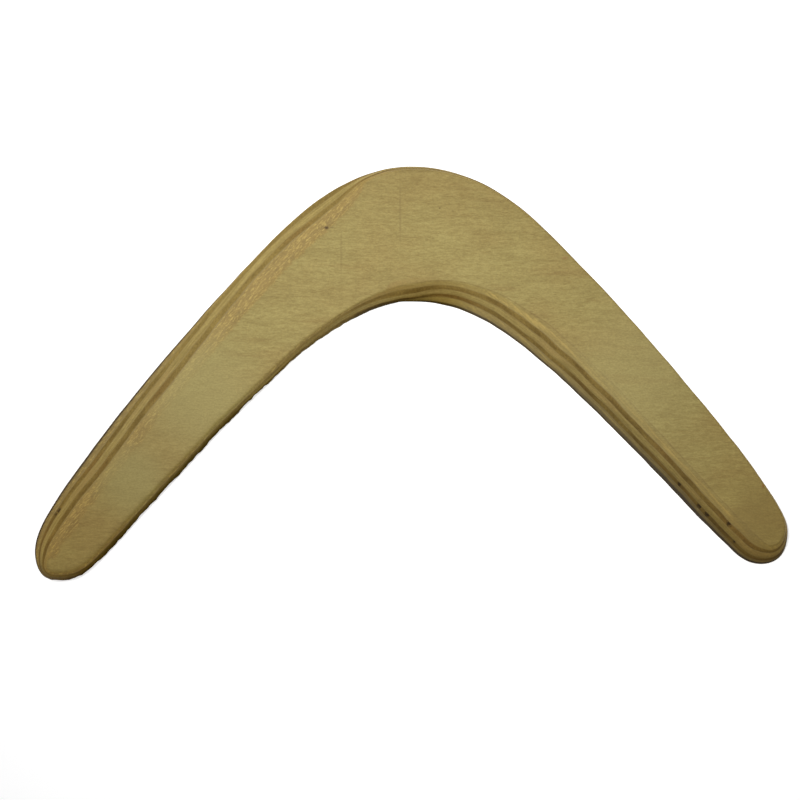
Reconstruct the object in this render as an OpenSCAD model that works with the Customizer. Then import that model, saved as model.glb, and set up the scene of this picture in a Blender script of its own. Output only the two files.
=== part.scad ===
// Returning boomerang with two arms, carved from one sheet of five-ply plywood.
// The flat underside lies on Z = 0. X runs along the span, Y points towards the elbow's outer edge,
// and the origin is below the middle of the plan's bounding box.

/* [Sheet] */
// Thickness of the back veneer and of the face veneer
face_t = 1.2; // [0.9:0.1:1.8]
// Thickness of each crossband, whose grain runs across the span
crossband_t = 0.95; // [0.7:0.05:1.5]
// Thickness of the core veneer
core_t = 1.3; // [0.9:0.1:2]
// Thickness of each glue line between two veneers
glue_t = 0.1; // [0.05:0.05:0.2]

/* [Plan] */
// Span from tip to tip
span = 400; // [300:10:600]
// Straight steps along each stretch of the outline
steps = 8; // [6:1:10]

/* [Carving] */
// Width of the carved edges, as a share of the drawn ones
carving = 1; // [0.6:0.05:1.05]
// Height of the blunt edge under the carving
edge_h = 0.4; // [0.2:0.1:0.7]
// Width of the broken arris along the underside
arris_w = 0.3; // [0.1:0.1:0.5]

/* [Hidden] */

// Layers from the underside up, and the height where each one starts
LAYER_T = [face_t, glue_t, crossband_t, glue_t, core_t, glue_t, crossband_t, glue_t, face_t];
function floor_z(layer) = layer == 0 ? 0 : floor_z(layer - 1) + LAYER_T[layer - 1];
sheet_t = floor_z(len(LAYER_T));

// Everything in plan is drawn for this span, and grows with the span that is asked for
drawn_span = 400;
plan_scale = span / drawn_span;

// Outline knots from the left tip to the right tip: x, y and heading in degrees
OUTER_KNOTS = [
    [-195, -113, 142], [-200, -99.5, 90], [-194, -79.5, 62], [-171, -44, 55], [-128, 12.5, 51],
    [-82, 66, 48], [-43, 101.5, 33], [0, 115.5, 0], [45, 102, -32], [92, 58, -47],
    [138, 4.5, -51], [181, -51.5, -55], [196, -75.5, -62], [200, -89, -90], [195.5, -102.5, -134]
];
INNER_KNOTS = [
    [-195, -113, -38], [-187.5, -115.5, 0], [-172, -110, 41], [-147, -83, 49], [-109.5, -40.5, 49],
    [-70, 0.5, 46], [-37.5, 26.5, 32], [0.5, 40, 0], [34, 32, -26], [63, 12, -40],
    [103.5, -27, -46], [142, -68.5, -48], [171, -99, -45], [183.5, -106, -8], [195.5, -102.5, 46]
];

// Carving along each edge: station, counted in knots from the left tip, then how far each veneer
// shows in plan, from the back veneer inwards to the face veneer
OUTER_CARVING = [
    [0, 0.1, 0.2, 0.4, 0.5, 1.4],
    [1, 2.2, 1.1, 1.6, 2.2, 3.5],
    [1.5, 3.1, 1.6, 2.3, 2.6, 4.0],
    [2, 2.8, 2.1, 2.5, 2.9, 4.0],
    [3, 4.1, 2.7, 3.1, 3.1, 3.8],
    [4, 2.6, 2.6, 3.5, 3.6, 4.8],
    [5, 0.2, 1.8, 3.0, 2.8, 7.0],
    [5.5, 0.2, 2.8, 3.7, 3.0, 6.4],
    [6, 0.2, 3.4, 3.1, 2.8, 5.0],
    [6.4, 0.3, 0.5, 0.9, 0.9, 1.4],
    [7, 0.3, 0.5, 0.9, 0.9, 1.2],
    [8, 0.2, 0.3, 0.5, 0.6, 0.8],
    [9, 0.1, 0.2, 0.3, 0.3, 0.5],
    [13, 0.1, 0.2, 0.3, 0.3, 0.6],
    [13.6, 0.2, 0.3, 0.6, 0.6, 1.2],
    [14, 0.6, 0.8, 1.7, 1.4, 2.8]
];
INNER_CARVING = [
    [0, 0.1, 0.2, 0.4, 0.5, 1.4],
    [1, 0.2, 0.3, 0.5, 0.8, 1.4],
    [2, 0.2, 0.2, 0.4, 0.7, 1.6],
    [5, 0.2, 0.3, 0.5, 0.8, 1.3],
    [6, 0.3, 1.3, 0.8, 0.9, 0.9],
    [6.3, 0.4, 1.6, 1.3, 1.1, 0.9],
    [7, 0.2, 0.6, 1.0, 3.6, 2.4],
    [7.25, 3.2, 1.5, 1.8, 1.9, 2.0],
    [7.5, 4.2, 1.7, 2.1, 1.9, 2.3],
    [8, 4.6, 2.0, 2.6, 2.4, 3.4],
    [9, 4.0, 2.0, 2.9, 2.8, 5.4],
    [10, 3.9, 2.0, 2.5, 2.6, 5.2],
    [11, 3.3, 1.7, 2.3, 2.5, 4.8],
    [12, 2.2, 2.0, 2.5, 2.5, 4.8],
    [13, 1.9, 1.6, 2.6, 2.3, 4.7],
    [14, 0.6, 0.8, 1.7, 1.4, 2.8]
];

// Heights where the surface passes from one veneer to the next, halfway up each glue line
TURN_Z = [
    edge_h, floor_z(1) + glue_t / 2, floor_z(3) + glue_t / 2,
    floor_z(5) + glue_t / 2, floor_z(7) + glue_t / 2, sheet_t
];

// Stations on each side over which the carving's runs are rounded off
blend = 0.25;

last = steps * (len(OUTER_KNOTS) - 1);
ring_n = 2 * last;

function direction(heading) = [cos(heading), sin(heading)];

function mix(a, b, t) = a + (b - a) * t;

// Turn from one heading to the next, between -180 and 180 degrees
function turn(from, to) = (to - from + 540) % 360 - 180;

// Four control points of the arc-like stretch between two knots
function stretch(a, b) =
    let (
        start = [a[0], a[1]],
        end = [b[0], b[1]],
        reach = norm(end - start) / (3 * cos(turn(a[2], b[2]) / 4) ^ 2)
    )
    [start, start + reach * direction(a[2]), end - reach * direction(b[2]), end];

function along(p, t) =
    (1 - t) ^ 3 * p[0] + 3 * (1 - t) ^ 2 * t * p[1] + 3 * (1 - t) * t ^ 2 * p[2] + t ^ 3 * p[3];

function slope(p, t) =
    (1 - t) ^ 2 * (p[1] - p[0]) + 2 * (1 - t) * t * (p[2] - p[1]) + t ^ 2 * (p[3] - p[2]);

// Widths of the five veneers' bands at a station, in a straight run from one row to the next
function straight_bands(rows, station) =
    let (
        row = max([for (i = [0 : len(rows) - 2]) if (rows[i][0] <= station) i]),
        t = (station - rows[row][0]) / (rows[row + 1][0] - rows[row][0])
    )
    [for (band = [1 : 5]) mix(rows[row][band], rows[row + 1][band], t)];

// The same widths, rounded off where two runs meet and unchanged at the tips
function bands(rows, station) =
    let (
        end = rows[len(rows) - 1][0],
        reach = min(blend, station, end - station)
    )
    carving * plan_scale / 4 * (
        straight_bands(rows, station - reach)
        + 2 * straight_bands(rows, station)
        + straight_bands(rows, station + reach)
    );

// Share of each veneer's band that lies below a height
function shares(z) =
    [for (i = [0 : 4]) max(0, min(1, (z - TURN_Z[i]) / (TURN_Z[i + 1] - TURN_Z[i])))];

function inset(rows, station, z) =
    bands(rows, station) * shares(z) + arris_w * max(0, 1 - z / edge_h);

// One point of an edge at a height, moved inwards from the outline; side is -1 where the wood lies
// to the right of the knots' direction, and 1 where it lies to the left
function edge_point(knots, rows, side, index, z) =
    let (
        first = min(floor(index / steps), len(knots) - 2),
        control = stretch(knots[first], knots[first + 1]),
        t = index / steps - first,
        ahead = slope(control, t),
        inwards = side * [-ahead[1], ahead[0]] / norm(ahead)
    )
    along(control, t) * plan_scale + inwards * inset(rows, index / steps, z);

// Closed ring round the boomerang at a height: the outer edge to the right tip, then the inner back
function ring(z) = [
    for (i = [0 : last]) edge_point(OUTER_KNOTS, OUTER_CARVING, -1, i, z),
    for (i = [last - 1 : -1 : 1]) edge_point(INNER_KNOTS, INNER_CARVING, 1, i, z)
];

// Triangles across a ring, in a strip from tip to tip
function cap(base) = [
    for (i = [0 : last - 2]) [base + i, base + i + 1, base + ring_n - i - 1],
    for (i = [1 : last - 1]) [base + i, base + ring_n - i - 1, base + ring_n - i]
];

function reversed(faces) = [for (f = faces) [f[2], f[1], f[0]]];

// Solid with one ring at each height, from the lowest to the highest
module rings(heights) {
    top = len(heights) - 1;
    points = [for (z = heights, p = ring(z)) [p[0], p[1], z]];
    sides = [
        for (level = [0 : top - 1], i = [0 : ring_n - 1])
        let (
            a = level * ring_n + i,
            b = level * ring_n + (i + 1) % ring_n
        )
        each [[a, b, b + ring_n], [a, b + ring_n, a + ring_n]]
    ];
    polyhedron(points, concat(reversed(cap(0)), sides, cap(top * ring_n)));
}

// Veneer above the underside's arris
module veneer(layer) {
    rings([floor_z(layer), floor_z(layer + 1)]);
}

// Film of glue that ends flush with the veneer below it
module glue_line(layer) {
    translate([0, 0, floor_z(layer)])
        linear_extrude(glue_t)
            polygon(ring(floor_z(layer)));
}

module back_veneer() {
    color("#b39f66") rings([0, edge_h, floor_z(1)]);
}

module lower_glue_line() {
    color("#5a3d1e") glue_line(1);
}

module lower_crossband() {
    color("#85682f") veneer(2);
}

module lower_core_glue_line() {
    color("#5a3d1e") glue_line(3);
}

module core_veneer() {
    color("#b8a36b") veneer(4);
}

module upper_core_glue_line() {
    color("#5a3d1e") glue_line(5);
}

module upper_crossband() {
    color("#85682f") veneer(6);
}

module upper_glue_line() {
    color("#5a3d1e") glue_line(7);
}

module face_veneer() {
    color("#b9a870") veneer(8);
}

back_veneer();
lower_glue_line();
lower_crossband();
lower_core_glue_line();
core_veneer();
upper_core_glue_line();
upper_crossband();
upper_glue_line();
face_veneer();
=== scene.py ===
"""The looks of a five-ply plywood boomerang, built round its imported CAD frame."""

import math

import bpy
import numpy as np
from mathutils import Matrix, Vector


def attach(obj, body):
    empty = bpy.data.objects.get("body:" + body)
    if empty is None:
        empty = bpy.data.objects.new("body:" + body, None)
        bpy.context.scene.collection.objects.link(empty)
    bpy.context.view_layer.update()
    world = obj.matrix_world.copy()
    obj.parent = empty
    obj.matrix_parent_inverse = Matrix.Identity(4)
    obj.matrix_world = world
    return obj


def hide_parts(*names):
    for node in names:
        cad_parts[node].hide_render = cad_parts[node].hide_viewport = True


MM = 0.001

# The layers from the underside up, each with the heights inside it, as shares of its thickness,
# where its side gets another ring of points
LAYERS = {
    "back_veneer": (0.1, 0.22, 0.34, 0.44, 0.55, 0.66, 0.77, 0.88),
    "lower_glue_line": (),
    "lower_crossband": (0.17, 0.33, 0.5, 0.67, 0.83),
    "lower_core_glue_line": (),
    "core_veneer": (0.14, 0.29, 0.43, 0.57, 0.71, 0.86),
    "upper_core_glue_line": (),
    "upper_crossband": (0.17, 0.33, 0.5, 0.67, 0.83),
    "upper_glue_line": (),
    "face_veneer": (0.12, 0.24, 0.36, 0.48, 0.6, 0.7, 0.79, 0.86, 0.92, 0.96, 0.985),
}
GLUE_LINES = [name for name in LAYERS if name.endswith("glue_line")]
VENEERS = [name for name in LAYERS if name not in GLUE_LINES]

# Points along each edge from tip to tip, and columns from edge to edge on the caps that show and
# on those that another layer hides
EDGE_STEPS = 760
FACE_COLUMNS = 26
HIDDEN_COLUMNS = 4
# Gap between an edge and the nearest column of a cap
CAP_MARGIN = 0.7 * MM
# Stations over which an edge's insets are averaged
INSET_BLUR = 4
# Straight pieces of a smooth curve for each point of a CAD ring, and how far outside an edge the
# ring above may lie
RING_PIECES = 3
OVERHANG = 0.1 * MM

# Softened crease between the carving and the flat face: how far it reaches down and inwards
CREASE_DEPTH = 0.16 * MM
CREASE_REACH = 0.55 * MM

# Hand sanding: each entry is the ripple's length along the edge and its size as a share of a band
SANDING = ((30 * MM, 0.02), (9 * MM, 0.035))
# Share of its own width that sanding leaves of a band at least
LEAST_BAND = 1 / 3
# Ripple of the sawn outline: its length and its size
OUTLINE_RIPPLE = (6 * MM, 0.07 * MM)
# Torn foot of the inner edge's steep wall: ripples, and the height they reach up to
TEARS = ((5 * MM, 0.16 * MM), (2 * MM, 0.14 * MM))
TEAR_HEIGHT = 3.4 * MM
# Seeds of the ripples
BAND_SEED_STEP = 10
OUTLINE_SEED = 7
TEAR_SEED = 40
# The wall is steep where the carving is narrow: fully below the first width, not above the next
NARROW = (4.5 * MM, 9 * MM)
# How far the abrasion and painted shade of a steep edge, and the sanding of a carved one, reach onto
# the flat face
WEAR_AND_SHADE_REACH = 1.1 * MM
SANDED_REACH = 3.5 * MM
# Abrasion and painted shade of the outer edge, as a share of the inner one's
OUTER_WEAR_AND_SHADE = 0.5

# Chips in the carving: centre, radius and depth in mm
CHIPS = (
    ((142.6, -62.3, 1.8), 1.1, 0.2),
    ((153.0, -74.5, 1.8), 1.5, 0.3),
    ((157.0, -79.3, 1.8), 1.4, 0.3),
    ((168.7, -85.0, 4.2), 1.5, 0.25),
    ((172.0, -94.0, 1.8), 1.1, 0.2),
    ((-187.8, -76.6, 1.8), 1.3, 0.3),
    ((-189.4, -78.6, 1.8), 1.1, 0.25),
)

# Camera: a long lens above the front
CAMERA_ELEVATION = 73
CAMERA_TARGET = (-6.1 * MM, -14.95 * MM, 0)
CAMERA_DISTANCE = 10
VIEW_WIDTH = 426.3 * MM


# --- Geometry -----------------------------------------------------------------------------------


def node_rings(node):
    """The rings round a CAD node's side, each as points in order, by height."""
    mesh = node.data
    places, ids = np.unique(
        np.round([v.co[:] for v in mesh.vertices], 6), axis=0, return_inverse=True
    )
    ids = ids.reshape(-1)
    beside = {}
    for polygon in mesh.polygons:
        corners = [int(ids[i]) for i in polygon.vertices]
        if np.ptp(places[corners, 2]) == 0:
            continue
        for a, b in zip(corners, corners[1:] + corners[:1]):
            if places[a, 2] == places[b, 2]:
                beside.setdefault(a, set()).add(b)
                beside.setdefault(b, set()).add(a)
    rings = {}
    while beside:
        here, ring = min(beside), []
        while here is not None:
            ring.append(here)
            here = next((n for n in sorted(beside.pop(here)) if n in beside), None)
        points = places[ring]
        rings[float(points[0, 2])] = points[:, :2]
    return rings


def closed_curve(points):
    """A smooth closed curve: a function of the way along it, and the way to each point."""
    chord = np.roll(points, -1, 0) - points
    length = np.linalg.norm(chord, axis=1)
    before = np.roll(length, 1)
    heading = chord / length[:, None]
    slope = heading * before[:, None] + np.roll(heading, 1, 0) * length[:, None]
    slope /= (length + before)[:, None]
    way = np.concatenate([[0], np.cumsum(length)])

    def at(ways):
        ways = np.mod(ways, way[-1])
        i = np.minimum(np.searchsorted(way, ways, side="right") - 1, len(points) - 1)
        j = (i + 1) % len(points)
        t = ((ways - way[i]) / length[i])[:, None]
        reach = length[i][:, None]
        return (
            (1 + 2 * t) * (1 - t) ** 2 * points[i]
            + t * (1 - t) ** 2 * reach * slope[i]
            + t * t * (3 - 2 * t) * points[j]
            + t * t * (t - 1) * reach * slope[j]
        )

    return at, way


def signed_area(points):
    """Area inside a closed run of points, above zero where it runs anticlockwise."""
    ahead = np.roll(points, -1, 0)
    return (points[:, 0] * ahead[:, 1] - points[:, 1] * ahead[:, 0]).sum() / 2


def outline_stations(ring):
    """Points round the widest ring, clockwise: left tip, outer edge, right tip, inner edge."""
    if signed_area(ring) > 0:
        ring = ring[::-1]
    apex = ring[ring[:, 1].argmax()]
    away = np.linalg.norm(ring - apex, axis=1)
    left = np.where(ring[:, 0] < 0, away, 0).argmax()
    ring = np.roll(ring, -left, 0)
    right = np.where(ring[:, 0] > 0, np.roll(away, -left), 0).argmax()
    at, way = closed_curve(ring)
    outer = np.linspace(0, way[right], EDGE_STEPS + 1)
    inner = np.linspace(way[right], way[-1], EDGE_STEPS + 1)
    return at(np.concatenate([outer[:-1], inner[:-1]]))


def inward_normals(points):
    """Directions across a clockwise outline, towards the wood."""
    heading = np.roll(points, -1, 0) - np.roll(points, 1, 0)
    heading /= np.linalg.norm(heading, axis=1)[:, None]
    return np.stack([heading[:, 1], -heading[:, 0]], 1)


def distance_to_ring(points, inward, ring):
    """How far inwards from each point a higher ring lies."""
    at, way = closed_curve(ring)
    start = at(np.linspace(0, way[-1], RING_PIECES * len(ring), endpoint=False))
    chord = np.roll(start, -1, 0) - start
    across = inward[:, :1] * chord[:, 1] - inward[:, 1:] * chord[:, 0]
    offset = start[None] - points[:, None]
    with np.errstate(divide="ignore", invalid="ignore"):
        distance = (offset[..., 0] * chord[:, 1] - offset[..., 1] * chord[:, 0]) / across
        share = (offset[..., 0] * inward[:, 1:] - offset[..., 1] * inward[:, :1]) / across
    hit = (share >= -1e-6) & (share <= 1 + 1e-6) & (distance > -OVERHANG)
    return np.where(hit, distance, np.inf).min(1)


def smoothed(values, sigma):
    """A closed run of values, each one averaged with its neighbours."""
    reach = int(4 * sigma)
    shifts = np.arange(-reach, reach + 1)
    weights = np.exp(-0.5 * (shifts / sigma) ** 2)
    return sum(w * np.roll(values, k) for w, k in zip(weights, shifts)) / weights.sum()


def ripple(seed, length, spacing, count):
    """Random closed run with features of the given length, about 1 high."""
    raw = smoothed(np.random.default_rng(seed).normal(size=count), length / spacing / 2)
    return raw / raw.std()


class Carving:
    """The side surface: the outline, and how far inwards the surface is at any height."""

    def __init__(self, nodes):
        rings = {name: node_rings(nodes[name]) for name in LAYERS}
        self.spans = {name: (min(rings[name]), max(rings[name])) for name in LAYERS}
        self.edge_height = sorted(rings["back_veneer"])[1]
        self.outline = outline_stations(rings["back_veneer"][self.edge_height])
        self.inward = inward_normals(self.outline)
        self.count = len(self.outline)
        self.spacing = np.linalg.norm(self.outline[1:] - self.outline[:-1], axis=1).mean()
        self.arris = self.insets_of(rings["back_veneer"][0.0]).mean()
        heights, insets = [self.edge_height], [np.zeros(self.count)]
        for below, above in zip(VENEERS, VENEERS[1:]):
            low, high = self.spans[below][1], self.spans[above][0]
            heights.append((low + high) / 2)
            lower, upper = self.insets_of(rings[below][low]), self.insets_of(rings[above][high])
            insets.append((lower + upper) / 2)
        heights.append(self.spans["face_veneer"][1])
        insets.append(self.insets_of(rings["face_veneer"][heights[-1]]))
        self.top = heights[-1]
        self.heights = np.array(heights)
        self.insets = self.sanded(np.array(insets))
        self.slopes = self.smooth_slopes()
        length, size = OUTLINE_RIPPLE
        self.outline = self.outline + self.inward * (
            size * ripple(OUTLINE_SEED, length, self.spacing, self.count)[:, None]
        )
        share = np.clip((NARROW[1] - self.insets[-1]) / (NARROW[1] - NARROW[0]), 0, 1)
        self.steep = share * share * (3 - 2 * share)
        inner = smoothed((np.arange(self.count) > self.count // 2).astype(float), INSET_BLUR)
        # How abraded the steep edges are, with painted shade, more on the inner edge
        self.worn_and_shaded = self.steep * (OUTER_WEAR_AND_SHADE + (1 - OUTER_WEAR_AND_SHADE) * inner)
        self.tears = self.steep * inner * sum(
            size * ripple(TEAR_SEED + n, length, self.spacing, self.count)
            for n, (length, size) in enumerate(TEARS)
        )

    def insets_of(self, ring):
        """How far inwards from the outline a CAD ring lies, at every station."""
        return smoothed(distance_to_ring(self.outline, self.inward, ring), INSET_BLUR)

    def sanded(self, insets):
        """The insets with a ripple from sanding in each band, and half its sum in the whole."""
        bands = np.diff(insets, axis=0)
        for k in range(len(bands)):
            wave = sum(
                share * ripple(BAND_SEED_STEP * k + n, length, self.spacing, self.count)
                for n, (length, share) in enumerate(SANDING)
            )
            bands[k] = bands[k] * np.maximum(1 + wave, LEAST_BAND)
        bands *= (insets[-1] / bands.sum(0)) ** 0.5
        return np.concatenate([insets[:1], np.cumsum(bands, axis=0)])

    def smooth_slopes(self):
        """Slopes at the heights for a curve that never turns back."""
        step = np.diff(self.insets, axis=0) / np.diff(self.heights)[:, None]
        low, high = step[:-1], step[1:]
        inner = 2 * low * high / np.maximum(low + high, 1e-9)
        return np.concatenate([step[:1], inner, step[-1:]])

    def inset(self, z):
        """How far inwards the surface is at a height, at every station."""
        torn = self.tears * max(0, 1 - z / TEAR_HEIGHT)
        if z < self.edge_height:
            return torn + self.arris * (1 - z / self.edge_height) ** 2
        k = min(np.searchsorted(self.heights, z, side="right") - 1, len(self.heights) - 2)
        step = self.heights[k + 1] - self.heights[k]
        t = (z - self.heights[k]) / step
        value = (
            (1 + 2 * t) * (1 - t) ** 2 * self.insets[k]
            + t * (1 - t) ** 2 * step * self.slopes[k]
            + t * t * (3 - 2 * t) * self.insets[k + 1]
            + t * t * (t - 1) * step * self.slopes[k + 1]
        )
        near_top = max(0, 1 - (self.top - z) / CREASE_DEPTH)
        return torn + value + CREASE_REACH * near_top**2

    def ring(self, z):
        """Points round the side at a height."""
        points = self.outline + self.inward * self.inset(z)[:, None]
        return np.column_stack([points, np.full(self.count, z)])

    def fade(self, amount, reach, ring, middle):
        """An edge's amount at points in rows across a ring, fading away from the edge."""
        half = self.count // 2
        rows = middle.reshape(half - 1, -1, 3)
        total = 0
        for edge in (np.arange(1, half), np.arange(self.count - 1, half, -1)):
            away = np.linalg.norm(rows - ring[edge][:, None], axis=2)
            total = total + amount[edge][:, None] * np.exp(-away / reach)
        return total.ravel()


def cap(ring, columns, first):
    """Rows of points across a ring from outer to inner edge, and the faces between them.

    The rows' ends are the ring's own points. first is the number of the first new point.
    """
    half = len(ring) // 2
    outer, inner = ring[1:half], ring[:half:-1]
    width = np.linalg.norm(inner - outer, axis=1)[:, None]
    margin = np.minimum(CAP_MARGIN / width, 0.5 / columns)
    middle = np.linspace(0, 1, columns - 1)[None, :]
    share = margin + (1 - 2 * margin) * middle
    added = outer[:, None] + (inner - outer)[:, None] * share[..., None]
    numbers = first + np.arange(added.shape[0] * added.shape[1]).reshape(added.shape[:2])
    rows = np.column_stack([np.arange(1, half), numbers, np.arange(len(ring) - 1, half, -1)])
    quads = np.stack([rows[:-1, :-1], rows[:-1, 1:], rows[1:, 1:], rows[1:, :-1]], -1)
    faces = quads.reshape(-1, 4).tolist()
    faces += [[0, int(b), int(a)] for a, b in zip(rows[0], rows[0][1:])]
    faces += [[half, int(a), int(b)] for a, b in zip(rows[-1], rows[-1][1:])]
    return added.reshape(-1, 3), faces


def chipped(points):
    """The points, pressed in where the carving is chipped, but never the flat underside."""
    points = points.copy()
    for centre, radius, depth in CHIPS:
        away = np.linalg.norm(points - np.array(centre) * MM, axis=1) / (radius * MM)
        points[:, 2] -= np.minimum(depth * MM * np.exp(-(away**2)), points[:, 2] / 2)
    return points


def add_attributes(mesh, carving, rings, upper, lower):
    """Stores at each point how abraded the steep wall is there, with painted shade, and how far the
    sanding reaches.
    """
    for title, amount, reach in (
        ("wear_and_shade", carving.worn_and_shaded, WEAR_AND_SHADE_REACH),
        ("sanding", 1 - carving.steep, SANDED_REACH),
    ):
        values = [np.tile(amount, len(rings))]
        for ring, middle in ((rings[-1], upper), (rings[0], lower)):
            values.append(carving.fade(amount, reach, ring, middle))
        attribute = mesh.attributes.new(title, "FLOAT", "POINT")
        attribute.data.foreach_set("value", np.concatenate(values))


def shade_mesh(mesh, smooth_faces, ring_levels):
    """Smooth shading on the first faces, and sharp edges round the rings at the given levels."""
    smooth = np.arange(len(mesh.polygons)) < smooth_faces
    mesh.polygons.foreach_set("use_smooth", smooth)
    ends = np.empty(2 * len(mesh.edges), int)
    mesh.edges.foreach_get("vertices", ends)
    level = ends.reshape(-1, 2) // (2 * EDGE_STEPS)
    sharp = np.isin(level[:, 0], ring_levels) & (level[:, 0] == level[:, 1])
    mesh.edges.foreach_set("use_edge_sharp", sharp)


def build_layer(carving, name):
    """One veneer or glue line as a closed mesh: its side, its upper cap and its lower one."""
    low, high = carving.spans[name]
    heights = [low, *(low + share * (high - low) for share in LAYERS[name]), high]
    rings = [carving.ring(z) for z in heights]
    count = carving.count
    points = np.concatenate(rings)
    faces = []
    for level in range(len(rings) - 1):
        here = level * count + np.arange(count)
        ahead = level * count + np.roll(np.arange(count), -1)
        faces += np.stack([here, here + count, ahead + count, ahead], 1).tolist()
    side = len(faces)
    columns = FACE_COLUMNS if name in ("face_veneer", "back_veneer") else HIDDEN_COLUMNS
    upper, upper_faces = cap(rings[-1], columns, len(points))
    shift = (len(rings) - 1) * count
    faces += [[i + shift if i < count else i for i in face] for face in upper_faces]
    points = np.concatenate([points, upper])
    lower, lower_faces = cap(rings[0], columns, len(points))
    faces += [face[::-1] for face in lower_faces]
    points = np.concatenate([points, lower])
    mesh = bpy.data.meshes.new(name + "_wood")
    mesh.from_pydata(chipped(points), [], faces)
    add_attributes(mesh, carving, rings, upper, lower)
    if name == "face_veneer":
        shade_mesh(mesh, side + len(upper_faces), [0])
    else:
        shade_mesh(mesh, side, [0, len(rings) - 1])
    mesh.validate()
    mesh.update()
    piece = bpy.data.objects.new(name + "_wood", mesh)
    bpy.context.scene.collection.objects.link(piece)
    return piece


# --- Materials ----------------------------------------------------------------------------------


class Wood:
    """Short calls for one material's nodes. Textures lie in the part's own frame."""

    def __init__(self, name, roughness, specular):
        self.material = bpy.data.materials.new(name)
        self.material.use_nodes = True
        self.tree = self.material.node_tree
        self.surface = self.tree.nodes["Principled BSDF"]
        self.surface.inputs["Roughness"].default_value = roughness
        self.surface.inputs["Specular IOR Level"].default_value = specular
        self.place = self.tree.nodes.new("ShaderNodeTexCoord").outputs["Object"]
        self.x, self.y, self.height = self.parts(self.place)
        self.outwards = self.math("ABSOLUTE", self.x)
        self.tilt = self.parts(self.tree.nodes.new("ShaderNodeNewGeometry").outputs["Normal"])

    def link(self, value, socket):
        """Feeds another node's output, or a plain value, into a socket."""
        if isinstance(value, bpy.types.NodeSocket):
            self.tree.links.new(value, socket)
        elif socket.type == "VECTOR":
            socket.default_value = value[:3]
        else:
            socket.default_value = value

    def parts(self, vector):
        """The X, Y and Z of a vector."""
        node = self.tree.nodes.new("ShaderNodeSeparateXYZ")
        self.link(vector, node.inputs[0])
        return node.outputs

    def math(self, operation, a, b=0.0, clamp=False):
        node = self.tree.nodes.new("ShaderNodeMath")
        node.operation, node.use_clamp = operation, clamp
        self.link(a, node.inputs[0])
        self.link(b, node.inputs[1])
        return node.outputs[0]

    def product(self, *factors):
        """Several values multiplied together."""
        total = factors[0]
        for factor in factors[1:]:
            total = self.math("MULTIPLY", total, factor)
        return total

    def between(self, factor, a, b):
        """The value between a and b."""
        return self.math("ADD", a, self.product(self.math("SUBTRACT", b, a), factor))

    def vector(self, operation, a, b=(0, 0, 0)):
        node = self.tree.nodes.new("ShaderNodeVectorMath")
        node.operation = operation
        self.link(a, node.inputs[0])
        self.link(b, node.inputs[1])
        return node.outputs["Value" if operation == "LENGTH" else "Vector"]

    def noise(self, per_metre, detail=2.0, roughness=0.5, place=None, shift=0.0):
        """Noise with the given number of features in a metre along X, Y and Z."""
        node = self.tree.nodes.new("ShaderNodeTexNoise")
        stretched = self.vector("MULTIPLY", place or self.place, per_metre)
        self.link(self.vector("ADD", stretched, (shift, shift, shift)), node.inputs["Vector"])
        node.inputs["Scale"].default_value = 1.0
        node.inputs["Detail"].default_value = detail
        node.inputs["Roughness"].default_value = roughness
        return node.outputs["Fac"]

    def ramp(self, value, start, end, low=0.0, high=1.0):
        """Smooth passage from low to high as value goes from start to end."""
        node = self.tree.nodes.new("ShaderNodeMapRange")
        node.interpolation_type = "SMOOTHSTEP"
        self.link(value, node.inputs["Value"])
        limits = {"From Min": start, "From Max": end, "To Min": low, "To Max": high}
        for socket, number in limits.items():
            node.inputs[socket].default_value = number
        return node.outputs["Result"]

    def mix(self, factor, a, b, blend="MIX"):
        """Colour a with a share of colour b, or with MULTIPLY a tinted by a share of b."""
        node = self.tree.nodes.new("ShaderNodeMix")
        node.data_type, node.blend_type = "RGBA", blend
        chosen = {s.name: s for s in node.inputs if s.enabled}
        self.link(factor, chosen["Factor"])
        self.link(a, chosen["A"])
        self.link(b, chosen["B"])
        return next(s for s in node.outputs if s.enabled)

    def shade(self, colour, factor):
        """The colour, made darker or lighter by a grey factor."""
        grey = self.tree.nodes.new("ShaderNodeCombineXYZ")
        for socket in grey.inputs:
            self.link(factor, socket)
        return self.vector("MULTIPLY", colour, grey.outputs[0])

    def vary(self, colour, value, size):
        """Darker and browner, or lighter, by up to a share, as value goes from 0.28 to 0.72."""
        tint = self.tree.nodes.new("ShaderNodeCombineXYZ")
        for socket, strength in zip(tint.inputs, (0.85, 1.0, 1.4)):
            reach = size * strength
            self.link(self.ramp(value, 0.28, 0.72, 1 - reach, 1 + reach), socket)
        return self.vector("MULTIPLY", colour, tint.outputs[0])

    def along_arm(self):
        """The place counted along the nearer arm, across it and upwards."""
        along = self.math(
            "SUBTRACT", self.product(self.y, ARM_DOWN), self.product(self.outwards, ARM_OUT)
        )
        across = self.math(
            "ADD", self.product(self.y, ARM_OUT), self.product(self.outwards, ARM_DOWN)
        )
        place = self.tree.nodes.new("ShaderNodeCombineXYZ")
        for value, socket in zip((along, across, self.height), place.inputs):
            self.link(value, socket)
        return place.outputs[0]

    def patchy(self, attribute):
        """One of the mesh's attributes, broken up by noise."""
        node = self.tree.nodes.new("ShaderNodeAttribute")
        node.attribute_name = attribute
        noise = self.ramp(self.noise((160, 160, 160), 3, 0.6, shift=12.0), 0.25, 0.75, 0.6, 1.3)
        return self.math("MULTIPLY", node.outputs["Fac"], noise, clamp=True)

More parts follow.
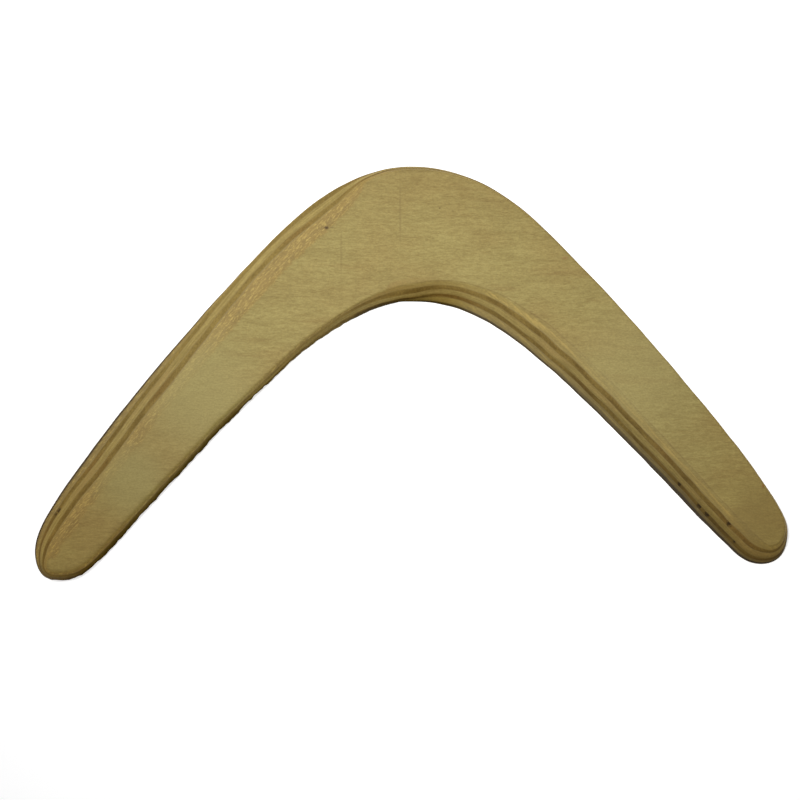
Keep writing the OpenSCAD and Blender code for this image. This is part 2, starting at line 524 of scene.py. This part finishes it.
    def spot(self, centre, size, ragged=0.0):
        """1 at a centre, falling to 0 at the given distances from it along X, Y and Z, all in mm."""
        offset = self.vector("SUBTRACT", self.place, tuple(c * MM for c in centre))
        scaled = self.vector("MULTIPLY", offset, tuple(1 / (s * MM) for s in size))
        away = self.vector("LENGTH", scaled)
        if ragged:
            torn = self.math("SUBTRACT", self.noise((1300, 1300, 1300)), 0.5)
            away = self.math("ADD", away, self.product(torn, ragged))
        return self.ramp(away, 1.0, 0.25)

    def above(self):
        """1 everywhere but on the flat underside, where it is 0."""
        return self.ramp(self.tilt[2], -0.9, -0.5)

    def finish(self, colour, relief, depth):
        """Connects the colour and a relief of the given depth, and gives the material."""
        self.link(colour, self.surface.inputs["Base Color"])
        bump = self.tree.nodes.new("ShaderNodeBump")
        bump.inputs["Strength"].default_value = 1.0
        bump.inputs["Distance"].default_value = depth
        self.link(relief, bump.inputs["Height"])
        self.link(bump.outputs[0], self.surface.inputs["Normal"])
        return self.material


def srgb(red, green, blue):
    """A colour from its 0 to 255 sRGB values."""
    linear = [
        c / 12.92 if c <= 0.04045 else ((c + 0.055) / 1.055) ** 2.4
        for c in (red / 255, green / 255, blue / 255)
    ]
    return (*linear, 1.0)


# Tints that multiply a colour: painted shade of the sawn wall, partly its scorch, and of its torn
# foot, a darker painted shade at the foot of the elbow's hollow and a paler one in the hollow, the
# wall's abraded edge with painted shade, and painted shade of the front-facing inner carving, of the
# back veneer's low edge and towards the tips
WALL_SHADE_AND_SCORCH = srgb(200, 197, 178)
FOOT_SHADE = srgb(206, 202, 190)
ELBOW_SHADE = srgb(172, 168, 158)
HOLLOW_SHADE = srgb(240, 236, 228)
EDGE_WEAR_AND_SHADE = srgb(232, 229, 206)
FRONT_SHADE = srgb(186, 182, 160)
LOW_EDGE_SHADE = srgb(118, 110, 80)
TIP_SHADE = srgb(255, 247, 222)

# Colours of the outer veneers: flat with its streaks and pores, and carved with its torn fibres
TAN = srgb(154, 133, 72)
OLIVE = srgb(158, 141, 79)
STREAK = srgb(144, 120, 62)
PORE = srgb(122, 96, 46)
CARVED_LEFT = srgb(148, 121, 61)
CARVED_RIGHT = srgb(156, 134, 72)
FLECK = srgb(186, 160, 86)
CREASE = srgb(122, 96, 42)
# Colours of the core, of the crossbands and of the glue
CORE_DARK, CORE_LIGHT, CORE_RED = srgb(144, 124, 67), srgb(168, 147, 86), srgb(156, 126, 76)
END_DARK, END_LIGHT, END_PALE = srgb(110, 88, 39), srgb(138, 115, 58), srgb(150, 129, 70)
END_RED, CHIPPED = srgb(130, 90, 44), srgb(66, 48, 14)
GLUE_DARK, GLUE_LIGHT = srgb(134, 113, 59), srgb(150, 129, 73)
BESIDE_GLUE = srgb(144, 123, 67)

# How far the arms lead outwards and down, as shares of the way along them
ARM_OUT, ARM_DOWN = 0.67, 0.74
# The elbow's middle, and the distances from it between which the wood gets darker with painted shade
# where the light falls off towards the tips
ELBOW = (0, 75 * MM, 0)
TIP_SHADE_REACH = (165 * MM, 265 * MM)
# Stretches along X over which the left arm's looks give way to the right arm's, the wall's painted
# shade and scorch fades away and its torn foot gets lower, and the painted shade of the inner edge
# and of its back veneer's low edge grows
TO_RIGHT = (-20 * MM, 30 * MM)
WALL_SHADE_ENDS = (-110 * MM, -60 * MM)
FOOT_DROPS = (-115 * MM, -65 * MM)
FRONT_SHADE_GROWS = (40 * MM, 175 * MM)
LOW_EDGE_SHADE_GROWS = (10 * MM, 150 * MM)
# Stretches of the left arm over which the crossbands' end grain gets pale, and dark again
PALE_STARTS = (-10 * MM, -60 * MM)
PALE_ENDS = (-110 * MM, -165 * MM)
# The same, counted from the middle both ways: the tips' ends, and where the flecks start
TIPS = (172 * MM, 194 * MM)
FLECKS_START = (12 * MM, 45 * MM)
# The elbow's painted shade in its hollow, and the darker painted shade at its foot: centre and half
# sizes in mm
ELBOW_HOLLOW = ((6, 41, 1), (36, 18, 7))
ELBOW_SHADE_SPOT = ((-13, 37, 0.5), (36, 20, 6))

# Patches, stains, pin knot and specks of the face: centre and half sizes in mm, colour, strength
FACE_MARKS = (
    ((-112.0, -12.0, 6), (44, 46, 9), (165, 152, 92), 0.6),
    ((-150.0, -62.0, 6), (26, 30, 9), (158, 146, 88), 0.6),
    ((118.0, 2.0, 6), (46, 46, 9), (166, 151, 92), 0.45),
    ((186.0, -82.0, 6), (22, 32, 9), (138, 119, 62), 0.6),
    ((0.0, 114.0, 5), (46, 5, 4), (118, 100, 50), 0.5),
    ((-45.4, 79.4, 6), (1.7, 1.3, 2), (78, 56, 16), 0.95),
    ((-42.6, 79.7, 6), (2.2, 0.5, 2), (112, 92, 44), 0.6),
    ((15.1, 90.4, 6), (0.7, 0.6, 2), (96, 76, 30), 0.7),
    ((22.0, 88.8, 6), (0.9, 0.5, 2), (104, 84, 36), 0.6),
    ((82.0, 62.5, 6), (2.6, 1.4, 2), (140, 96, 50), 0.45),
    ((-6.0, 88.0, 6), (0.9, 24, 2), (126, 106, 56), 0.4),
    ((-37.5, 64.0, 6), (0.9, 20, 2), (126, 106, 56), 0.3),
    ((187.0, -64.5, 5.5), (0.9, 1.6, 2), (140, 96, 30), 0.8),
)

# Depth of the outer veneers' relief
OUTER_RELIEF = 0.03 * MM
# The outer veneers' fibres: features in a metre, detail, size of the change and shift of the noise
FIBRES = (
    ((38, 62, 62), 3, 0.025, 2.3),
    ((40, 420, 420), 3, 0.055, 3.1),
    ((300, 1000, 1000), 3, 0.13, 7.7),
)


def torn_foot(wood):
    """1 on the ragged foot of the sawn wall, which is lower beside the elbow."""
    torn = wood.product(wood.noise((300, 300, 120), 3, 0.6, shift=15.0), 1.2 * MM)
    torn = wood.math("ADD", torn, wood.ramp(wood.x, *FOOT_DROPS, 0.0, 1.6 * MM))
    return wood.ramp(wood.math("ADD", wood.height, torn), 4.5 * MM, 3.8 * MM)


def sawn(wood, colour):
    """Paints shade on the steep sawn wall, partly its scorch, and in the elbow's hollow, dulls their
    shine, and darkens the wall's abraded edge and its foot with painted shade.
    """
    ragged = wood.product(wood.noise((260, 260, 500)), 0.25)
    upright = wood.math("ABSOLUTE", wood.tilt[2])
    steep = wood.ramp(wood.math("ADD", upright, ragged), 0.86, 0.5)
    steep = wood.product(steep, wood.ramp(wood.outwards, *TIPS, 1.0, 0.35))
    # painted shade in the elbow's hollow
    hollow = wood.product(wood.spot(*ELBOW_HOLLOW), wood.above())
    shine = wood.surface.inputs["Specular IOR Level"]
    kept = wood.math("SUBTRACT", 1.0, wood.math("MAXIMUM", steep, hollow))
    wood.link(wood.product(kept, shine.default_value), shine)
    # darker painted shade at the foot of the elbow's hollow
    elbow_shade = wood.product(wood.spot(*ELBOW_SHADE_SPOT), wood.above())
    arm = wood.ramp(wood.x, *WALL_SHADE_ENDS, 1.0, 0.1)
    wear_and_shade, foot = wood.patchy("wear_and_shade"), torn_foot(wood)
    for share, where, tint in (
        # abraded edge of the steep wall, with painted shade
        (wear_and_shade, arm, EDGE_WEAR_AND_SHADE),
        # painted shade of the steep wall, partly the saw's scorch
        (steep, arm, WALL_SHADE_AND_SCORCH),
        # painted shade at the foot of the wall
        (wear_and_shade, foot, FOOT_SHADE),
        # darker painted shade at the foot of the elbow's hollow
        (elbow_shade, foot, ELBOW_SHADE),
        # painted shade in the elbow's hollow
        (hollow, 1.0, HOLLOW_SHADE),
    ):
        colour = wood.mix(wood.product(share, where), colour, tint, "MULTIPLY")
    return colour


def shade_front(wood, colour):
    """Paints shade on the front-facing carving of the inner edge, more of it lower down and towards
    the right tip.
    """
    faces_front = wood.ramp(wood.tilt[1], -0.06, -0.16)
    faces_up = wood.ramp(wood.tilt[2], -0.2, 0.1)
    right = wood.ramp(wood.x, *FRONT_SHADE_GROWS, 0.3, 1.0)
    low = wood.ramp(wood.height, 5.4 * MM, 1.0 * MM, 0.25, 1.0)
    # painted shade on the front-facing carving
    return wood.mix(wood.product(right, low, faces_front, faces_up), colour, FRONT_SHADE, "MULTIPLY")


def stained(wood, colour, levels):
    """Blurs a veneer beside its glue lines, where sanding tears the fibres and resin stains them."""
    torn = wood.noise((420, 420, 420), 3, 0.65, shift=6.6)
    reach = wood.ramp(torn, 0.3, 0.7, 0.02 * MM, 0.3 * MM)
    blur = wood.ramp(wood.x, *TO_RIGHT, 0.6, 0.3)
    for level in levels:
        away = wood.math("ABSOLUTE", wood.math("SUBTRACT", wood.height, level))
        near = wood.math("SUBTRACT", 1.0, wood.math("DIVIDE", away, reach), clamp=True)
        colour = wood.mix(wood.product(near, blur), colour, BESIDE_GLUE)
    speckle = wood.noise((800, 1300, 1300), 2, 0.7, shift=2.2)
    return wood.shade(colour, wood.ramp(speckle, 0.3, 0.7, 0.9, 1.1))


def shade_tips_and_front(wood, colour):
    """Paints shade, darker and warmer, towards the tips where the light falls off, and paints shade
    on the front-facing inner edge.
    """
    away = wood.vector("MULTIPLY", wood.vector("SUBTRACT", wood.place, ELBOW), (1, 1, 0))
    # painted shade of the light's falloff towards the tips
    tip = wood.ramp(wood.vector("LENGTH", away), *TIP_SHADE_REACH)
    return shade_front(wood, wood.mix(tip, colour, TIP_SHADE, "MULTIPLY"))


def stained_and_shaded(wood, colour, levels):
    """What every veneer gets: stains beside the glue, and painted shade towards the tips, on the
    front-facing inner carving and on the steep sawn wall, partly its scorch.
    """
    return sawn(wood, shade_tips_and_front(wood, stained(wood, colour, levels)))


def face_grain(wood):
    """Colour and relief of a sheet with its grain along X: patches, growth lines, fibres, pores."""
    patches = wood.ramp(wood.noise((11, 19, 30), 4, 0.6), 0.38, 0.62)
    colour = wood.mix(patches, TAN, OLIVE)
    streaks = wood.ramp(wood.noise((22, 150, 150), 3, 0.6, shift=8.3), 0.54, 0.72)
    colour = wood.mix(wood.product(streaks, 0.5), colour, STREAK)
    growth = wood.math("SINE", wood.product(wood.noise((7, 24, 24), 2, shift=14.0), 75.0))
    colour = wood.vary(colour, wood.ramp(growth, 0.98, 0.6, 0.28, 0.5), 0.07)
    for per_metre, detail, size, shift in FIBRES:
        colour = wood.vary(colour, wood.noise(per_metre, detail, 0.6, shift=shift), size)
    checks = wood.noise((900, 60, 60), 2, 0.6, shift=4.4)
    colour = wood.vary(colour, checks, 0.01)
    pores = wood.ramp(wood.noise((240, 2600, 2600), 1, shift=5.0), 0.64, 0.76)
    colour = wood.mix(wood.product(pores, 0.45), colour, PORE)
    return colour, wood.math("SUBTRACT", checks, pores)


def carved_face(wood, colour, depth):
    """Opens the veneer's layers and fibres where it is carved, and darkens the carving's crease."""
    side = wood.ramp(wood.x, *TO_RIGHT)
    torn = wood.product(wood.noise((300, 300, 300), 3, 0.65, shift=9.1), 0.5 * MM)
    carved = wood.ramp(wood.math("SUBTRACT", depth, torn), -0.15 * MM, 0.35 * MM)
    sanded = wood.ramp(wood.patchy("sanding"), 0.25, 0.6)
    sanded = wood.product(sanded, wood.math("SUBTRACT", 1.0, side))
    carved = wood.product(wood.math("MAXIMUM", carved, sanded), wood.above())
    layers = wood.noise((60, 60, 3600), 3, 0.65, shift=1.7)
    opened = wood.mix(side, CARVED_LEFT, CARVED_RIGHT)
    opened = wood.shade(opened, wood.ramp(layers, 0.3, 0.7, 0.86, 1.12))
    colour = wood.mix(wood.product(carved, 0.75), colour, opened)
    along_arm = wood.along_arm()
    flecks = wood.ramp(wood.noise((330, 1200, 1000), 3, 0.65, along_arm), 0.5, 0.62)
    streaks = wood.ramp(wood.noise((50, 900, 900), 3, 0.65, along_arm), 0.45, 0.65)
    arms = wood.ramp(wood.outwards, *FLECKS_START, 0.0, 0.75)
    flecks = wood.product(wood.between(side, flecks, streaks), carved, arms)
    colour = wood.mix(flecks, colour, FLECK)
    off_crease = wood.math("ABSOLUTE", wood.math("SUBTRACT", depth, 0.09 * MM))
    crease = wood.math("SUBTRACT", 1.0, wood.ramp(off_crease, 0.0, 0.08 * MM))
    crease = wood.product(crease, wood.ramp(side, 0, 1, 0.06, 0.4))
    return wood.mix(crease, colour, CREASE)


def outer_wood(name, top, levels, marks):
    """Outer veneer, with marks on it: the material's nodes, its colour and its relief."""
    wood = Wood(name, 0.62, 0.35)
    colour, relief = face_grain(wood)
    colour = carved_face(wood, colour, wood.math("SUBTRACT", top, wood.height))
    for centre, size, tint, strength in marks:
        colour = wood.mix(wood.product(wood.spot(centre, size), strength), colour, srgb(*tint))
    return wood, stained_and_shaded(wood, colour, levels), relief


def face_wood(top, levels):
    """The face, with its knot, specks and stains."""
    wood, colour, relief = outer_wood("face_wood", top, levels, FACE_MARKS)
    return wood.finish(colour, relief, OUTER_RELIEF)


def back_wood(top, levels):
    """The same veneer below, with painted shade low on its carved edge, growing towards the right
    tip, and on its bottom arris.
    """
    wood, colour, relief = outer_wood("back_wood", top, levels, ())
    beside = wood.ramp(wood.tilt[2], -0.5, -0.2)
    right = wood.ramp(wood.x, *LOW_EDGE_SHADE_GROWS, 0.25, 1.0)
    low = wood.ramp(wood.height, 0.7 * MM, 0.95 * MM, 1.0, 0.35)
    arris = wood.ramp(wood.height, 0.55 * MM, 0.75 * MM, 1.0, 0.0)
    # painted shade low on the side and on the bottom arris
    low_edge_shade = wood.product(beside, wood.math("MAXIMUM", wood.product(right, low), arris))
    colour = wood.mix(low_edge_shade, colour, LOW_EDGE_SHADE, "MULTIPLY")
    return wood.finish(colour, relief, OUTER_RELIEF)


def core_wood(levels):
    """Middle veneer, with its grain along X, seen where the carving slices through its layers."""
    wood = Wood("core_wood", 0.72, 0.25)
    layers = wood.noise((55, 55, 3200), 3, 0.65)
    colour = wood.mix(wood.ramp(layers, 0.3, 0.7), CORE_DARK, CORE_LIGHT)
    red = wood.ramp(wood.noise((24, 40, 400), 2, shift=4.0), 0.45, 0.7)
    colour = wood.mix(wood.product(red, 0.35), colour, CORE_RED)
    fibres = wood.noise((260, 1300, 1800), 3, 0.6, wood.along_arm())
    colour = wood.shade(colour, wood.ramp(fibres, 0.3, 0.7, 0.92, 1.07))
    return wood.finish(stained_and_shaded(wood, colour, levels), fibres, 0.035 * MM)


def crossband_wood(name, levels, red_share):
    """Crossband, whose grain runs along Y, so that the carving shows dark end grain."""
    wood = Wood(name, 0.78, 0.2)
    layers = wood.noise((60, 60, 700), 3, 0.6)
    colour = wood.mix(wood.ramp(layers, 0.3, 0.7), END_DARK, END_LIGHT)
    pale = wood.product(
        wood.ramp(wood.x, *PALE_STARTS), wood.ramp(wood.x, *PALE_ENDS, 1.0, 0.0), 0.45
    )
    colour = wood.mix(pale, colour, END_PALE)
    red = wood.ramp(wood.noise((30, 30, 200), 1, shift=6.0), 0.52, 0.7)
    colour = wood.mix(wood.product(red, red_share), colour, END_RED)
    ends = wood.noise((1100, 420, 1500), 2, 0.6)
    colour = wood.shade(colour, wood.ramp(ends, 0.3, 0.7, 0.88, 1.1))
    for centre, radius, _ in CHIPS:
        chip = wood.spot(centre, (1.5 * radius, 1.5 * radius, 1.6), 1.6)
        colour = wood.mix(chip, colour, CHIPPED)
    return wood.finish(stained_and_shaded(wood, colour, levels), ends, 0.05 * MM)


def glue_film():
    """Resin film, stained by the wood on both sides, with the same painted shade as the wood."""
    wood = Wood("glue", 0.5, 0.4)
    stains = wood.ramp(wood.noise((120, 120, 120), 3), 0.3, 0.7)
    colour = wood.mix(stains, GLUE_DARK, GLUE_LIGHT)
    return wood.finish(sawn(wood, shade_tips_and_front(wood, colour)), stains, 0.01 * MM)


def dress(pieces, spans):
    """Gives each piece its material; the slot name listed beside it is not used."""
    bottom, top = spans["face_veneer"]
    face = face_wood(top, [bottom])
    back = back_wood(top, [spans["back_veneer"][1]])
    core = core_wood(spans["core_veneer"])
    lower = crossband_wood("lower_crossband_wood", spans["lower_crossband"], 0.25)
    upper = crossband_wood("upper_crossband_wood", spans["upper_crossband"], 0.2)
    glue = glue_film()
    for name, piece in pieces.items():
        material, slot = {
            "face_veneer": (face, "face_wood"),
            "back_veneer": (back, "face_wood"),
            "core_veneer": (core, "core_wood"),
            "lower_crossband": (lower, "crossband_wood"),
            "upper_crossband": (upper, "crossband_wood"),
        }.get(name, (glue, "glue"))
        piece.data.materials.append(material)


# --- Studio -------------------------------------------------------------------------------------

# The floor: half its side, and how far it lies below the underside
FLOOR_REACH = 8
FLOOR_DROP = 0.02 * MM
# Lamps: place, target and power
KEY = ((-0.55, 0.62, 1.65), (0.0, 0.045, 0), 120)
FILL = ((-0.6, -0.5, 0.9), (0, 0, 0), 0.6)


def add_floor():
    """White floor, which lights up a little so that it stays white away from the lamps."""
    mesh = bpy.data.meshes.new("floor")
    sides = ((-1, -1), (1, -1), (1, 1), (-1, 1))
    corners = [(x * FLOOR_REACH, y * FLOOR_REACH, 0) for x, y in sides]
    mesh.from_pydata(corners, [], [(0, 1, 2, 3)])
    floor = bpy.data.objects.new("floor", mesh)
    floor.location.z = -FLOOR_DROP
    bpy.context.scene.collection.objects.link(floor)
    material = bpy.data.materials.new("floor")
    material.use_nodes = True
    surface = material.node_tree.nodes["Principled BSDF"]
    surface.inputs["Base Color"].default_value = (0.9, 0.9, 0.9, 1)
    surface.inputs["Roughness"].default_value = 0.9
    surface.inputs["Emission Color"].default_value = (1, 1, 1, 1)
    surface.inputs["Emission Strength"].default_value = 0.55
    mesh.materials.append(material)


def add_light(name, kind, place, target, power):
    """A lamp that shines from a place at a target. The caller sets its size and its spread."""
    data = bpy.data.lights.new(name, kind)
    data.energy = power
    lamp = bpy.data.objects.new(name, data)
    lamp.location = place
    lamp.rotation_euler = (Vector(target) - Vector(place)).to_track_quat("-Z", "Y").to_euler()
    lamp.visible_camera = False
    bpy.context.scene.collection.objects.link(lamp)
    return data


def add_studio():
    """A soft key lamp from behind on the left, a weak fill from the front, and a pale room."""
    key = add_light("key", "SPOT", *KEY)
    key.spot_size = math.radians(20.5)
    key.spot_blend = 1
    key.shadow_soft_size = 0.2
    fill = add_light("fill", "AREA", *FILL)
    fill.shape = "DISK"
    fill.size = 0.8
    world = bpy.data.worlds.new("world")
    world.use_nodes = True
    background = world.node_tree.nodes["Background"]
    background.inputs["Color"].default_value = (1, 1, 1, 1)
    background.inputs["Strength"].default_value = 0.33
    bpy.context.scene.world = world
    bpy.context.scene.view_settings.view_transform = "Standard"


def add_camera():
    """The long lens that looks down at the boomerang from the front."""
    data = bpy.data.cameras.new("camera")
    data.sensor_width = 36
    data.lens = data.sensor_width * CAMERA_DISTANCE / VIEW_WIDTH
    data.clip_start, data.clip_end = 0.1, 40
    camera = bpy.data.objects.new("camera", data)
    angle = math.radians(CAMERA_ELEVATION)
    back = Vector((0, -math.cos(angle), math.sin(angle)))
    camera.location = Vector(CAMERA_TARGET) + back * CAMERA_DISTANCE
    camera.rotation_euler = (math.pi / 2 - angle, 0, 0)
    bpy.context.scene.collection.objects.link(camera)
    bpy.context.scene.camera = camera


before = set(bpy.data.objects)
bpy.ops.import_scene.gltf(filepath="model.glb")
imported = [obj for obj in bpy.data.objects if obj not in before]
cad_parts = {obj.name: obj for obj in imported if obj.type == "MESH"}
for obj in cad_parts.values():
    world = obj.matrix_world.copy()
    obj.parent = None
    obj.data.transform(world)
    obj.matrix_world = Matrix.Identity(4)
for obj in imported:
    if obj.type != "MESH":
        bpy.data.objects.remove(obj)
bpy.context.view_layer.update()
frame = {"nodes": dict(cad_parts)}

carving = Carving(frame["nodes"])
pieces = {}
for layer in LAYERS:
    pieces[layer] = build_layer(carving, layer)
    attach(pieces[layer], "root")
    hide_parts(layer)
dress(pieces, carving.spans)
add_floor()
add_studio()
add_camera()
